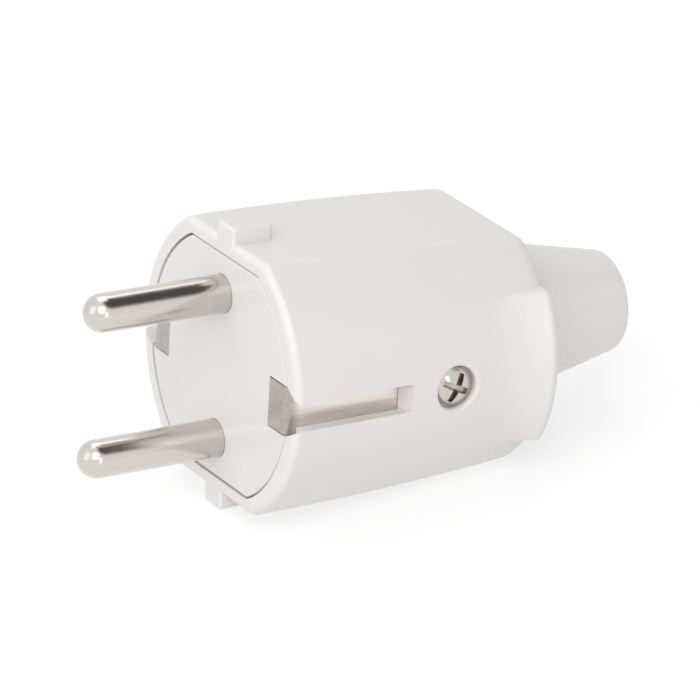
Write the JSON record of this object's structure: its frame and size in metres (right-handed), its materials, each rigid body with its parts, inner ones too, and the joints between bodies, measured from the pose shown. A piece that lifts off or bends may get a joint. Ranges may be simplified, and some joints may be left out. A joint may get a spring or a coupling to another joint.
{
  "type": "mains plug",
  "caption": "White rubber mains plug with round contact pins, earth contacts in slots at its sides, a flattened round body with key ribs and thumb grips, and a tapered cable neck.",
  "frame": {"origin": "middle of the flat contact face that the pins stand on", "axes": "+X from the contact face back to the cable neck, +Z along the line through both pins, -Y towards the cover screw"},
  "size_m": [0.075, 0.0382, 0.0368],
  "materials": {
    "cover_rubber": "satin moulded white rubber",
    "carrier_plastic": "moulded white plastic",
    "pin_metal": "nickel-plated brass, polished",
    "strap_metal": "plated strip, satin",
    "screw_metal": "zinc-plated, satin"
  },
  "bodies": {
    "root": {"outer_cover": "cover_rubber", "pin_carrier": "carrier_plastic", "line_pin": "pin_metal", "neutral_pin": "pin_metal", "earth_strap": "strap_metal", "cover_screw": "screw_metal", "pin_terminal_screws": "screw_metal", "earth_clamp_washer": "screw_metal", "earth_terminal_screw": "screw_metal", "cord_clamp": "carrier_plastic", "cord_clamp_screws": "screw_metal"}
  },
  "joints": []
}
